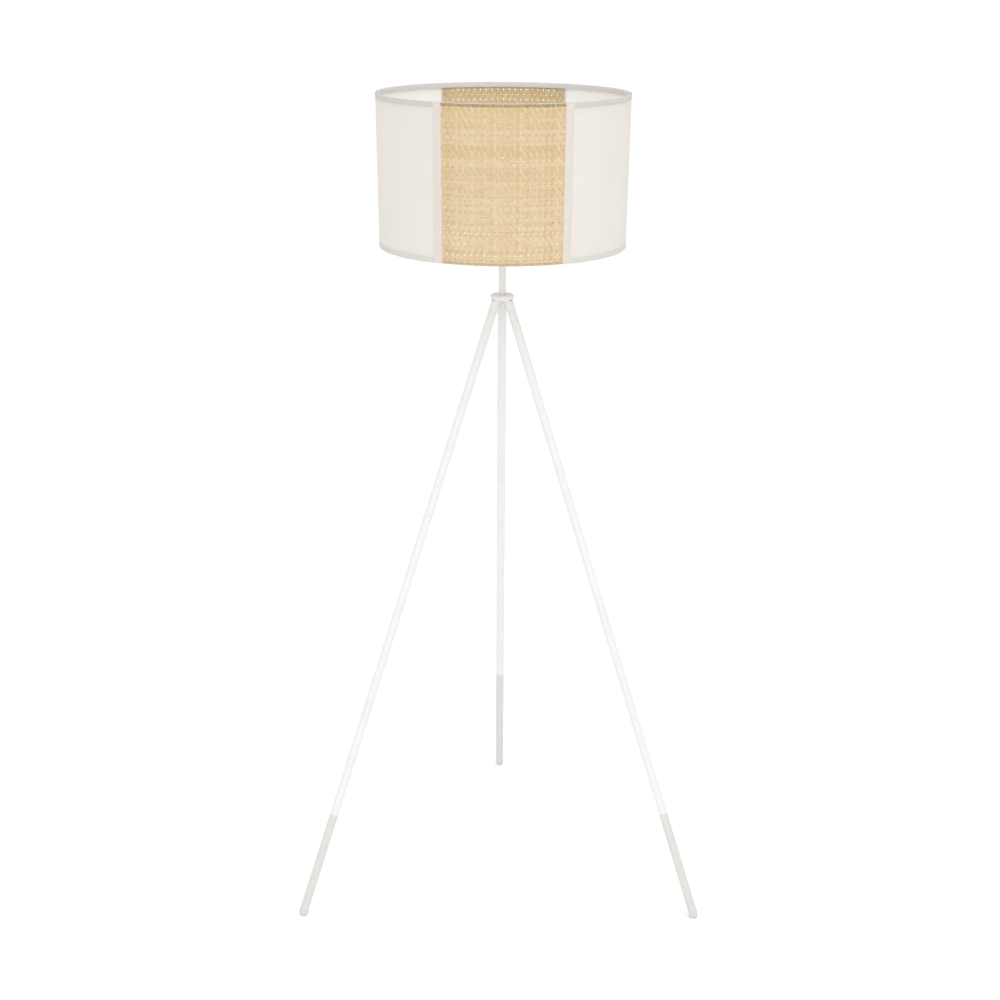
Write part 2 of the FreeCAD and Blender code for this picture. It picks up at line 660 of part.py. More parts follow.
def make_carrier():
    """The carrier: a flat ring on the lampholder's flange, three wire arms, and the shade's two ring wires."""
    top_of_ring = "shade_base + carrier_gauge"
    keep("carrier_ring", tube("CarrierRing", "carrier_radius", "carrier_bore_radius", "shade_base", top_of_ring))
    wires = {
        "base": size("shade_base") + size("carrier_gauge") + size("ring_wire_radius"),
        "top": size("lamp_height") - size("binding_gauge") - size("slip_gap") - size("ring_wire_radius"),
    }
    for name, height in wires.items():
        ring = doc.addObject("Part::Torus", f"{name}_wire")
        ring.setExpression("Radius1", bound(ring_radius(height)))
        ring.setExpression("Radius2", bound("ring_wire_radius"))
        ring.Placement.Base = FreeCAD.Vector(0, 0, height)
        keep(f"{name}_ring_wire", ring)
    outwards = FreeCAD.Rotation(FreeCAD.Vector(0, 1, 0), 90)
    groups = {}
    for kind, radius in (("arm", "ring_wire_radius"), ("slit", "ring_wire_radius + slit_gap")):
        groups[kind] = []
        for side, azimuth in LEGS.items():
            end = f"{ring_radius(wires['base'])} - ring_wire_radius - slip_gap"
            arm = tube(f"{kind}_{side}", radius, None, "carrier_radius - carrier_gauge", end)
            turn = FreeCAD.Rotation(FreeCAD.Vector(0, 0, 1), azimuth).multiply(outwards)
            arm.Placement = FreeCAD.Placement(FreeCAD.Vector(0, 0, wires["base"]), turn)
            groups[kind].append(arm)
    keep("carrier_arms", group("CarrierArms", groups["arm"]))
    return group("BindingSlits", groups["slit"])


def make_bindings(slits):
    """The tapes folded over the ring wires, inside the drum. The lower one is slit where the arms pass."""
    for name, edge, way in (("top", "lamp_height", "-"), ("base", "shade_base", "+")):
        outer = wall_radius(edge, "cane_gauge + slip_gap")
        inner = wall_radius(edge, "cane_gauge + 3 * slip_gap + 2 * ring_wire_radius + binding_gauge")
        corners = [
            (inner, f"{edge} {way} hem_height"),
            (inner, edge),
            (outer, edge),
            (outer, f"{edge} {way} binding_gauge"),
            (f"{inner} + binding_gauge", f"{edge} {way} binding_gauge"),
            (f"{inner} + binding_gauge", f"{edge} {way} hem_height"),
        ]
        tape = turned(f"{name}_tape", corners)
        if name == "base":
            tape = boolean("Cut", "BaseBinding", tape, slits)
        keep(f"{name}_binding", tape)


def skin(name, low, high, outwards, gauge, angle, azimuth):
    """A piece of the drum's wall between two heights, over an angle centred on an azimuth."""
    turn = FreeCAD.Placement(FreeCAD.Vector(0, 0, 0), FreeCAD.Rotation(FreeCAD.Vector(0, 0, 1), azimuth))
    corners = [
        (f"{wall_radius(low)} + {outwards}", low),
        (f"{wall_radius(high)} + {outwards}", high),
        (f"{wall_radius(high)} + {outwards} - {gauge}", high),
        (f"{wall_radius(low)} + {outwards} - {gauge}", low),
    ]
    return turned(name, corners, turn, angle)


def make_drum():
    """The drum's wall: cane front and back, white fabric at the sides, seam strips and hems."""
    low, high = "shade_base", "lamp_height"
    white_angle = "180 - cane_angle"
    for name, azimuth in (("front", 270), ("back", 90)):
        keep(f"{name}_cane_panel", skin(f"{name}_cane", low, high, "0", "cane_gauge", "cane_angle", azimuth))
        for side, way in (("left", -1), ("right", 1)):
            handed = way if name == "front" else -way
            place = azimuth + handed * size("seam_centre_angle")
            strip = skin(f"{name}_{side}_seam", low, high, "seam_gauge", "seam_gauge", "seam_angle", place)
            keep(f"{name}_{side}_seam_strip", strip)
    hem_angle = "180 - 2 * seam_centre_angle - seam_angle"
    for side, azimuth in (("left", 180), ("right", 0)):
        keep(f"{side}_fabric_panel", skin(f"{side}_fabric", low, high, "0", "fabric_gauge", white_angle, azimuth))
        for edge, start, end in (("top", f"{high} - hem_height", high), ("base", low, f"{low} + hem_height")):
            hem = skin(f"{side}_{edge}_hem", start, end, "hem_gauge", "hem_gauge", hem_angle, azimuth)
            keep(f"{side}_{edge}_hem", hem)


def write_parts():
    """Checks every object and every sub-part, then writes one file per sub-part."""
    doc.recompute()
    broken = [item.Name for item in doc.Objects if {"Invalid", "Error"} & set(item.State)]
    if broken:
        raise RuntimeError(f"these objects failed: {broken}")
    for node, item in nodes.items():
        if item.Shape.isNull() or not item.Shape.isValid() or item.Shape.Volume <= 0:
            raise RuntimeError(f"{node} has no valid shape")
    os.makedirs("parts", exist_ok=True)
    for node, item in nodes.items():
        item.Shape.exportStep(f"parts/{node}.step")
    print(f"wrote {len(nodes)} sub-parts")


make_hub()
make_hub_fittings()
make_post()
for side, azimuth in LEGS.items():
    make_leg(side, azimuth)
make_leg_joints()
make_lampholder()
make_contacts()
make_wires()
make_bulb()
make_shade_ring()
make_bindings(make_carrier())
make_drum()
write_parts()
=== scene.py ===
"""Looks of the tripod floor lamp: powder-coated legs, a post, a lampholder with a bulb and a drum shade.

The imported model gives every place. Sizes here are millimetres, turned to metres by the factor MM.
The front is -Y.
"""

import logging
import math
import random
from dataclasses import dataclass, field
from enum import Enum
from typing import Callable, Sequence

import bmesh
import bpy
from bmesh.types import BMesh
from bpy.types import Material, Node, NodeSocket, NodeTree, Object
from mathutils import Matrix, Vector


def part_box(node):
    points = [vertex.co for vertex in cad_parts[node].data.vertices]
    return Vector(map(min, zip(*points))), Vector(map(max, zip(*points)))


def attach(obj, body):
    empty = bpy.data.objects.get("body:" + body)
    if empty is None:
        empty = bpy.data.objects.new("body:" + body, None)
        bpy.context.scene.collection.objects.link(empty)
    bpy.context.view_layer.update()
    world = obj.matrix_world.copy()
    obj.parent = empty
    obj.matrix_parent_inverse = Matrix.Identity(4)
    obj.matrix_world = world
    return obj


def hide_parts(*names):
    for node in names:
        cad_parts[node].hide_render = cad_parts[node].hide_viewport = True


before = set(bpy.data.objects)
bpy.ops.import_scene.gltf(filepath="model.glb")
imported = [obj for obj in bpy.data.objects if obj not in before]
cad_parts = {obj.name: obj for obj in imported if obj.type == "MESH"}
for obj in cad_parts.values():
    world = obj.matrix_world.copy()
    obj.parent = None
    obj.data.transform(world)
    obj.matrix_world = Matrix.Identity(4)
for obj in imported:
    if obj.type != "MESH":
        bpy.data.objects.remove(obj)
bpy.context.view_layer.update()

MM = 0.001
SMOOTH_ANGLE = math.radians(38)
RING_STEPS = 64
log = logging.getLogger("lamp")


class Edge(Enum):
    """The drum's two edges. The value is the way into the drum from that edge, up or down."""

    TOP = -1
    BASE = 1


def linear(hex_code: str) -> tuple[float, float, float, float]:
    """Turns an sRGB colour to the linear values that a shader takes.

    Args:
        hex_code: the colour as "#rrggbb".

    Returns:
        Red, green, blue and an alpha of 1.
    """
    parts = [int(hex_code[i : i + 2], 16) / 255 for i in (1, 3, 5)]
    red, green, blue = (c / 12.92 if c <= 0.04045 else ((c + 0.055) / 1.055) ** 2.4 for c in parts)
    return red, green, blue, 1.0


def add_node(
    tree: NodeTree, kind: str, settings: dict | None = None, sockets: dict | None = None
) -> Node:
    """Adds one node to a material.

    Args:
        tree: the material's node tree.
        kind: the node's type name, without the ShaderNode that all of them start with.
        settings: the node's own options.
        sockets: what each input takes, a value or another node's output, by the input's name or number.

    Returns:
        The new node.
    """
    node = tree.nodes.new("ShaderNode" + kind)
    for name, value in (settings or {}).items():
        setattr(node, name, value)
    for name, value in (sockets or {}).items():
        if isinstance(value, NodeSocket):
            tree.links.new(value, node.inputs[name])
        else:
            node.inputs[name].default_value = value
    return node


@dataclass(frozen=True)
class Finish:
    """A surface finish, with the colour that a maker would order it in."""

    name: str
    colour: str

    def make(self) -> Material:
        """Makes the material, or gives the one already made.

        Returns:
            The material.
        """
        made = bpy.data.materials.get(self.name)
        if made is None:
            made = bpy.data.materials.new(self.name)
            made.use_nodes = True
            made.node_tree.nodes.clear()
            shader = self.shade(made.node_tree)
            add_node(made.node_tree, "OutputMaterial", sockets={"Surface": shader})
        return made

    def shade(self, tree: NodeTree) -> NodeSocket:
        """Adds the finish's nodes.

        Args:
            tree: the material's node tree.

        Returns:
            The shader's output.
        """
        raise NotImplementedError

    def blotches(
        self, tree: NodeTree, where: NodeSocket, size: float, low: float, high: float
    ) -> NodeSocket:
        """Adds a soft, cloudy pattern.

        Args:
            tree: the material's node tree.
            where: the coordinates that the pattern follows.
            size: the width of a cloud, in the coordinates' own unit.
            low: the pattern's least value.
            high: the pattern's greatest value.

        Returns:
            The pattern's value.
        """
        grains = {"Vector": where, "Scale": 1 / size, "Detail": 3.0}
        cloud = add_node(tree, "TexNoise", sockets=grains)
        spread = {"Value": cloud.outputs[0], "From Min": 0.3, "From Max": 0.7, "To Min": low, "To Max": high}
        return add_node(tree, "MapRange", sockets=spread).outputs[0]

    def tinted(
        self, tree: NodeTree, share: NodeSocket, other: str
    ) -> NodeSocket:
        """Mixes the finish's colour with another, by a pattern.

        Args:
            tree: the material's node tree.
            share: how much of the other colour shows, from 0 to 1.
            other: the other colour as "#rrggbb".

        Returns:
            The mixed colour.
        """
        sockets = {0: share, 6: linear(self.colour), 7: linear(other)}
        return add_node(tree, "Mix", {"data_type": "RGBA"}, sockets).outputs[2]

    def lit_through(self, tree: NodeTree, front: dict, glow: float) -> NodeSocket:
        """Lets part of the light through a thin surface.

        Args:
            tree: the material's node tree.
            front: what the surface's own shader takes, its colour and normal among them.
            glow: the share that goes through.

        Returns:
            The shader's output.
        """
        face = add_node(tree, "BsdfPrincipled", sockets=front).outputs[0]
        lit = {"Color": front["Base Color"], "Normal": front["Normal"]}
        through = add_node(tree, "BsdfTranslucent", sockets=lit).outputs[0]
        return add_node(tree, "MixShader", sockets={0: glow, 1: face, 2: through}).outputs[0]


@dataclass(frozen=True)
class PowderCoat(Finish):
    """Polyester powder baked on steel: a satin skin with a fine orange peel and soft highlights."""

    shadow: str
    roughness: float = 0.42
    peel: float = 1.4 * MM  # twice as coarse as the real peel, which is too fine to show
    relief: float = 0.12 * MM

    def shade(self, tree: NodeTree) -> NodeSocket:
        """Adds the finish's nodes.

        Args:
            tree: the material's node tree.

        Returns:
            The shader's output.
        """
        where = add_node(tree, "TexCoord").outputs["Object"]
        dimples = {"Vector": where, "Scale": 1 / self.peel, "Detail": 1.0}
        peel = add_node(tree, "TexNoise", sockets=dimples)
        relief = {"Height": peel.outputs[0], "Strength": 0.35, "Distance": self.relief}
        bump = add_node(tree, "Bump", sockets=relief)
        colour = self.tinted(tree, self.blotches(tree, where, 45 * MM, 0.0, 0.5), self.shadow)
        roughness = self.blotches(tree, where, 18 * MM, self.roughness - 0.05, self.roughness + 0.06)
        sockets = {
            "Base Color": colour,
            "Roughness": roughness,
            "Normal": bump.outputs[0],
            "Specular IOR Level": 0.3,
        }
        return add_node(tree, "BsdfPrincipled", sockets=sockets).outputs[0]


@dataclass(frozen=True)
class Moulding(Finish):
    """A moulded plastic, rubber or pressed compound: a spark-eroded grain from the tool, and a dull sheen."""

    shadow: str
    roughness: float
    grain: float = 0.5 * MM
    relief: float = 0.05 * MM

    def shade(self, tree: NodeTree) -> NodeSocket:
        """Adds the finish's nodes.

        Args:
            tree: the material's node tree.

        Returns:
            The shader's output.
        """
        where = add_node(tree, "TexCoord").outputs["Object"]
        pits = {"Vector": where, "Scale": 1 / self.grain, "Detail": 2.0}
        grain = add_node(tree, "TexNoise", sockets=pits)
        relief = {"Height": grain.outputs[0], "Strength": 0.5, "Distance": self.relief}
        bump = add_node(tree, "Bump", sockets=relief)
        colour = self.tinted(tree, self.blotches(tree, where, 9 * MM, 0.0, 0.6), self.shadow)
        roughness = self.blotches(tree, where, 5 * MM, self.roughness - 0.06, self.roughness + 0.06)
        sockets = {"Base Color": colour, "Roughness": roughness, "Normal": bump.outputs[0], "IOR": 1.49}
        return add_node(tree, "BsdfPrincipled", sockets=sockets).outputs[0]


@dataclass(frozen=True)
class TurnedMetal(Finish):
    """Plated or bare metal off a lathe: fine rings round the axis, and a patchy film where it was handled."""

    tarnish: str
    roughness: float
    ring: float = 0.35 * MM
    patch: float = 25 * MM
    relief: float = 0.03 * MM

    def shade(self, tree: NodeTree) -> NodeSocket:
        """Adds the finish's nodes.

        Args:
            tree: the material's node tree.

        Returns:
            The shader's output.
        """
        where = add_node(tree, "TexCoord").outputs["Object"]
        stretch = (1 / self.patch, 1 / self.patch, 1 / self.ring)
        flat = add_node(tree, "Mapping", sockets={"Vector": where, "Scale": stretch})
        grooves = {"Vector": flat.outputs[0], "Scale": 1.0, "Detail": 2.0}
        rings = add_node(tree, "TexNoise", sockets=grooves)
        relief = {"Height": rings.outputs[0], "Strength": 0.4, "Distance": self.relief}
        bump = add_node(tree, "Bump", sockets=relief)
        colour = self.tinted(tree, self.blotches(tree, where, 6 * MM, 0.0, 0.7), self.tarnish)
        roughness = self.blotches(tree, where, 3 * MM, self.roughness - 0.06, self.roughness + 0.1)
        sockets = {"Base Color": colour, "Metallic": 1.0, "Roughness": roughness, "Normal": bump.outputs[0]}
        return add_node(tree, "BsdfPrincipled", sockets=sockets).outputs[0]


@dataclass(frozen=True)
class Glaze(Finish):
    """Glazed ceramic or blown opal glass: a white body under a clear, wet-looking skin."""

    shadow: str
    depth: float
    roughness: float = 0.12

    def shade(self, tree: NodeTree) -> NodeSocket:
        """Adds the finish's nodes.

        Args:
            tree: the material's node tree.

        Returns:
            The shader's output.
        """
        where = add_node(tree, "TexCoord").outputs["Object"]
        colour = self.tinted(tree, self.blotches(tree, where, 14 * MM, 0.0, 0.5), self.shadow)
        roughness = self.blotches(tree, where, 7 * MM, self.roughness - 0.03, self.roughness + 0.06)
        sockets = {
            "Base Color": colour,
            "Roughness": roughness,
            "IOR": 1.52,
            "Subsurface Weight": self.depth,
            "Subsurface Radius": (1.0, 0.9, 0.8),
            "Subsurface Scale": 4 * MM,
            "Coat Weight": 0.5,
            "Coat Roughness": 0.05,
        }
        return add_node(tree, "BsdfPrincipled", sockets=sockets).outputs[0]


@dataclass(frozen=True)
class ShadeCloth(Finish):
    """Cotton cloth on a smooth white backing: a plain weave with slubs, which lets soft light through."""

    shadow: str
    thread: float = 1.1 * MM  # twice the real thread spacing, which is too fine to show
    glow: float = 0.3
    backing: str = "#fbfaf8"
    slub_width: float = 1.6 * MM
    slub_lengths: tuple[float, float] = (22 * MM, 26 * MM)
    relief: float = 0.1 * MM

    def inner_side(self, tree: NodeTree) -> NodeSocket:
        """Tells the side that faces the drum's axis, which the white backing covers.

        Args:
            tree: the material's node tree.

        Returns:
            1 on the inner side and 0 elsewhere.
        """
        where = add_node(tree, "TexCoord").outputs
        flatten = {0: where["Object"], 1: (1.0, 1.0, 0.0)}
        level = add_node(tree, "VectorMath", {"operation": "MULTIPLY"}, flatten)
        against = {0: where["Normal"], 1: level.outputs[0]}
        facing = add_node(tree, "VectorMath", {"operation": "DOT_PRODUCT"}, against).outputs["Value"]
        return add_node(tree, "Math", {"operation": "LESS_THAN"}, {0: facing, 1: 0.0}).outputs[0]

    def shade(self, tree: NodeTree) -> NodeSocket:
        """Adds the finish's nodes.

        Args:
            tree: the material's node tree.

        Returns:
            The shader's output.
        """
        where = add_node(tree, "TexCoord").outputs["UV"]
        spacing = {0: where, "Scale": math.tau / self.thread}
        threads = add_node(tree, "VectorMath", {"operation": "SCALE"}, spacing)
        axes = add_node(tree, "SeparateXYZ", sockets={0: threads.outputs[0]}).outputs
        sine = {"operation": "SINE"}
        waves = [add_node(tree, "Math", sine, {0: axes[i]}).outputs[0] for i in (0, 1)]
        crossed = {0: waves[0], 1: waves[1]}
        weave = add_node(tree, "Math", {"operation": "MULTIPLY"}, crossed).outputs[0]
        slubs = []
        across, (weft, warp) = 1 / self.slub_width, self.slub_lengths
        for stretch in ((1 / weft, across, 1.0), (across, 1 / warp, 1.0)):
            along = add_node(tree, "Mapping", sockets={"Vector": where, "Scale": stretch})
            streak = {"Vector": along.outputs[0], "Scale": 1.0}
            slubs.append(add_node(tree, "TexNoise", sockets=streak).outputs[0])
        slub = add_node(tree, "Math", {"operation": "ADD"}, {0: slubs[0], 1: slubs[1]}).outputs[0]
        spread = {"Value": slub, "From Min": 0.8, "From Max": 1.25, "To Min": 0.0, "To Max": 1.0}
        share = add_node(tree, "MapRange", sockets=spread).outputs[0]
        cotton = self.tinted(tree, share, self.shadow)
        sides = {0: self.inner_side(tree), 6: cotton, 7: linear(self.backing)}
        colour = add_node(tree, "Mix", {"data_type": "RGBA"}, sides).outputs[2]
        raised = {0: weave, 1: 0.35, 2: slub}
        height = add_node(tree, "Math", {"operation": "MULTIPLY_ADD"}, raised).outputs[0]
        relief = {"Height": height, "Strength": 0.3, "Distance": self.relief}
        bump = add_node(tree, "Bump", sockets=relief).outputs[0]
        front = {
            "Base Color": colour,
            "Roughness": 0.85,
            "Normal": bump,
            "Specular IOR Level": 0.25,
            "Sheen Weight": 0.12,
            "Sheen Roughness": 0.5,
        }
        return self.lit_through(tree, front, self.glow)


@dataclass(frozen=True)
class CaneSkin(Finish):
    """Split rattan cane: straw-coloured strands, each its own shade, with fibres, flecks and a waxy skin."""

    shadow: str
    pale: str
    glue_and_shade: str
    low: float
    high: float
    fibre: float = 0.5 * MM
    fleck: float = 1.8 * MM
    fibre_length: float = 35 * MM
    fold: float = 6.5 * MM
    fade: float = 1.5 * MM
    patch: float = 2.2 * MM
    relief: float = 0.1 * MM
    glow: float = 0.2

    def glue_and_shade_rows(self, tree: NodeTree) -> NodeSocket:
        """Adds the darker rows where the cane is folded over the wires, strong above and faint below: glue
        stain, with painted shade where the fold behind lets no light through the gaps.

        Args:
            tree: the material's node tree.

        Returns:
            The rows' strength.
        """
        where = add_node(tree, "TexCoord").outputs["Object"]
        height = add_node(tree, "SeparateXYZ", sockets={0: where}).outputs["Z"]
        rows = []
        for edge, inwards, depth in ((self.high, -1, 1.0), (self.low, 1, 0.45)):
            inner = edge + inwards * self.fold
            faded = inner - inwards * self.fade
            spread = {"Value": height, "From Min": inner, "From Max": faded, "To Max": depth}
            rows.append(add_node(tree, "MapRange", sockets=spread).outputs[0])
        both = add_node(tree, "Math", {"operation": "ADD"}, {0: rows[0], 1: rows[1]}).outputs[0]
        patches = self.blotches(tree, where, self.patch, 0.15, 1.0)
        return add_node(tree, "Math", {"operation": "MULTIPLY"}, {0: both, 1: patches}).outputs[0]

    def shade(self, tree: NodeTree) -> NodeSocket:
        """Adds the finish's nodes.

        Args:
            tree: the material's node tree.

        Returns:
            The shader's output.
        """
        where = add_node(tree, "TexCoord").outputs["UV"]
        stretch = (1 / self.fibre_length, 1 / self.fibre, 1.0)
        along = add_node(tree, "Mapping", sockets={"Vector": where, "Scale": stretch})
        hairs = {"Vector": along.outputs[0], "Scale": 1.0, "Detail": 3.0}
        fibres = add_node(tree, "TexNoise", sockets=hairs).outputs[0]
        spread = {"Value": fibres, "From Min": 0.35, "From Max": 0.68, "To Min": 0.0, "To Max": 0.55}
        streaks = add_node(tree, "MapRange", sockets=spread).outputs[0]
        long_flecks = {"Vector": where, "Scale": (1 / (3 * self.fleck), 1 / self.fleck, 1.0)}
        flecked = add_node(tree, "Mapping", sockets=long_flecks).outputs[0]
        specks = self.blotches(tree, flecked, 1.0, 0.0, 0.5)
        larger = {0: streaks, 1: specks}
        darker = add_node(tree, "Math", {"operation": "MAXIMUM"}, larger).outputs[0]
        tone = add_node(tree, "Attribute", {"attribute_name": "tone"}).outputs["Fac"]
        colour = linear(self.colour)
        # The last mix paints the folded rows: glue stain and painted shade.
        for share, other in ((tone, self.pale), (darker, self.shadow), (self.glue_and_shade_rows(tree), self.glue_and_shade)):
            mixed = {0: share, 6: colour, 7: linear(other)}
            colour = add_node(tree, "Mix", {"data_type": "RGBA"}, mixed).outputs[2]
        relief = {"Height": fibres, "Strength": 0.6, "Distance": self.relief}
        bump = add_node(tree, "Bump", sockets=relief).outputs[0]
        skin = {"Base Color": colour, "Roughness": 0.5, "Normal": bump, "IOR": 1.45}
        return self.lit_through(tree, skin, self.glow)


@dataclass(frozen=True)
class StudioPaper(Finish):
    """Seamless white background paper: matt, with the faintest mottle."""

    shadow: str
    mottle: float = 400 * MM

    def shade(self, tree: NodeTree) -> NodeSocket:
        """Adds the finish's nodes.

        Args:
            tree: the material's node tree.

        Returns:
            The shader's output.
        """
        where = add_node(tree, "TexCoord").outputs["Object"]
        colour = self.tinted(tree, self.blotches(tree, where, self.mottle, 0.0, 0.1), self.shadow)
        sockets = {"Base Color": colour, "Roughness": 0.95, "Specular IOR Level": 0.1}
        return add_node(tree, "BsdfPrincipled", sockets=sockets).outputs[0]


WHITE_STEEL = PowderCoat("Powder coat, white", "#e0dfdd", "#dbdad7")
# Warm grey for the lowest part of each leg, to a length that differs from leg to leg: the legs are darker
# towards the floor.
GREY_LOWER_LEGS = PowderCoat("Powder coat, warm grey leg ends", "#d1cfcb", "#cbc9c5", 0.5)
GREY_FOOT = Moulding("Moulded foot, warm grey", "#cfcdc8", "#c7c5c0", 0.55)
WHITE_PLASTIC = Moulding("Moulded holder, white thermoplastic", "#ecebe7", "#e2e0db", 0.38)
WHITE_RUBBER = Moulding("Moulded bush, white rubber", "#e4e2de", "#d6d4cf", 0.75)
BLACK_VITRITE = Moulding("Pressed insulator, black vitrite", "#17171a", "#26262b", 0.2, 0.8 * MM)
BROWN_PVC = Moulding("Wire insulation, brown PVC", "#6a3f24", "#5a341d", 0.4)
BLUE_PVC = Moulding("Wire insulation, blue PVC", "#2f6fb0", "#275f99", 0.4)
ZINC = TurnedMetal("Zinc-plated steel", "#c9ccd0", "#aeb2b8", 0.32)
BRASS = TurnedMetal("Rolled brass", "#d9b56a", "#b8924a", 0.28)
NICKEL = TurnedMetal("Nickel-plated brass", "#d6d2c8", "#bdb7aa", 0.24)
CERAMIC = Glaze("Glazed ceramic", "#f1eee8", "#e9e5dd", 0.1)
OPAL = Glaze("Opal glass", "#f6f5f2", "#efeeea", 0.5)
WIRE_COAT = PowderCoat("Coated ring wire, white", "#eceae6", "#e2e0db", 0.45)
PANEL_CLOTH = ShadeCloth("Laminated cotton, white", "#eeebe7", "#ebe8e3", glow=0.45)
# Both hems are the same white cotton; their greys are painted shade, the shadow of the binding tape inside
# seen through the cloth, strong at the top and faint at the base.
TOP_HEM_PAINTED_SHADE = ShadeCloth("Folded cotton hem, white", "#cecbc6", "#c8c5c0", glow=0.1)
BASE_HEM_PAINTED_SHADE = ShadeCloth("Single cotton hem, white", "#e6e3de", "#e0ddd7", glow=0.3)
SEAM_CLOTH = ShadeCloth("Cotton seam strip, white", "#e2dbd4", "#dcd4cc", glow=0.15)
# The white tape is coloured grey on both sides: painted shade, as it lies inside the drum's rims.
TAPE_PAINTED_SHADE = ShadeCloth("Binding tape, white cotton", "#d4d2cd", "#cdcac5", 0.9 * MM, 0.08, "#d4d2cd")
PAPER = StudioPaper("Background paper, white", "#f9f9f9", "#f4f4f4")


def dress(finish: Finish, *nodes: str) -> None:
    """Gives a finish to pieces that keep the shape they were packed with.

    Args:
        finish: the finish.
        nodes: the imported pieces' names.
    """
    for name in nodes:
        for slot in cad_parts[name].material_slots:
            slot.material = finish.make()
        log.info("%s keeps its shape, in %s", name, finish.name)


def hand_over(
    mesh: BMesh,
    name: str,
    finishes: Sequence[Finish],
    body: str,
    stands_for: Sequence[str],
) -> Object:
    """Turns a finished bmesh to a named piece that rides on a body.

    Args:
        mesh: the piece, in the lamp's own metres. It is used up.
        name: the piece's name.
        finishes: the finishes, in the order of the faces' material numbers.
        body: the body that the piece moves with.
        stands_for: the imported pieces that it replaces.

    Returns:
        The new object.
    """
    data = bpy.data.meshes.new(name)
    mesh.to_mesh(data)
    mesh.free()
    for finish in finishes:
        data.materials.append(finish.make())
    data.shade_smooth()
    data.set_sharp_from_angle(angle=SMOOTH_ANGLE)
    piece = bpy.data.objects.new(name, data)
    bpy.context.scene.collection.objects.link(piece)
    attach(piece, body)
    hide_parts(*stands_for)
    log.info("%s: %d faces, in %s", name, len(data.polygons), ", ".join(f.name for f in finishes))
    return piece


def lathe(mesh: BMesh, outline: Sequence[tuple[float, float]], steps: int = RING_STEPS) -> None:
    """Turns a closed outline round the Z axis.

    Args:
        mesh: the bmesh that takes the ring.
        outline: the corners as radius and height, in order.
        steps: the number of steps round the ring.
    """
    corners = [mesh.verts.new((radius, 0.0, height)) for radius, height in outline]
    sides = [mesh.edges.new(pair) for pair in zip(corners, corners[1:] + corners[:1])]
    whole = corners + sides
    bmesh.ops.spin(
        mesh, geom=whole, cent=(0, 0, 0), axis=(0, 0, 1), angle=math.tau, steps=steps, use_merge=True
    )
    bmesh.ops.recalc_face_normals(mesh, faces=mesh.faces[:])


def wind_thread(
    mesh: BMesh, root: float, crest: float, low: float, high: float, pitch: float, turn_steps: int = 36
) -> None:
    """Winds a rounded screw thread round the Z axis, fading out at both ends.

    Args:
        mesh: the bmesh that takes the thread.
        root: the thread's least radius.
        crest: the thread's greatest radius.
        low: the height of its lower end.
        high: the height of its upper end.
        pitch: the rise of one turn.
        turn_steps: the number of steps in one turn.
    """
    rows, near, buried = 8, 0.01 * MM, 0.15 * MM
    turns = round((high - low) / pitch) - 1
    first = set(mesh.verts)
    wave = [mesh.verts.new((root, 0.0, low + pitch * row / rows)) for row in range(rows + 1)]
    for row, vertex in enumerate(wave):
        vertex.co.x += (crest - root) * (1 - math.cos(math.tau * row / rows)) / 2
    sides = [mesh.edges.new(pair) for pair in zip(wave, wave[1:])]
    bmesh.ops.spin(
        mesh,
        geom=wave + sides,
        cent=(0, 0, 0),
        axis=(0, 0, 1),
        dvec=(0, 0, pitch / turn_steps),
        angle=math.tau * turns,
        steps=turns * turn_steps,
        use_merge=False,
    )
    fresh = [v for v in mesh.verts if v not in first]
    bmesh.ops.remove_doubles(mesh, verts=fresh, dist=near)
    for vertex in [v for v in mesh.verts if v not in first]:
        radius = math.hypot(vertex.co.x, vertex.co.y)
        fade = min(1.0, (vertex.co.z - low) / pitch, (low + pitch * (turns + 1) - vertex.co.z) / pitch)
        wanted = root + (radius - root) * max(0.0, fade) - buried * (fade < 0.05)
        vertex.co.x *= wanted / radius
        vertex.co.y *= wanted / radius
    bmesh.ops.recalc_face_normals(mesh, faces=mesh.faces[:])


def pull_sheet(
    mesh: BMesh,
    across: int,
    along: int,
    place: Callable[[float, float], Vector],
    spread: Callable[[float, float], tuple[float, float]],
    gauge: float,
    tone: float = 0.0,
) -> None:
    """Adds a sheet: a flat grid, pulled to its place, mapped by its real size and given its thickness.

    Args:
        mesh: the bmesh that takes the sheet.
        across: the number of faces across.
        along: the number of faces along.
        place: where the point at shares (across, along), each from 0 to 1, goes. The outer side comes out
            on top when the first share runs to the right of the second as seen from outside.
        spread: the cloth's own flat position of that point, in metres.
        gauge: the sheet's thickness, inwards.
        tone: a shade of its own, from 0 to 1, for a strand of cane.
    """
    grid = bmesh.new()
    tone_layer = grid.verts.layers.float.new("tone")
    cut = grid.loops.layers.uv.new("cut")
    bmesh.ops.create_grid(grid, x_segments=across, y_segments=along, size=0.5)
    for face in grid.faces:
        for loop in face.loops:
            loop[cut].uv = spread(loop.vert.co.x + 0.5, loop.vert.co.y + 0.5)
    for vertex in grid.verts:
        vertex[tone_layer] = tone
        vertex.co = place(vertex.co.x + 0.5, vertex.co.y + 0.5)
    grid.normal_update()
    bmesh.ops.solidify(grid, geom=grid.faces[:], thickness=gauge)
    held = bpy.data.meshes.new("held")
    grid.to_mesh(held)
    grid.free()
    mesh.from_mesh(held)
    bpy.data.meshes.remove(held)


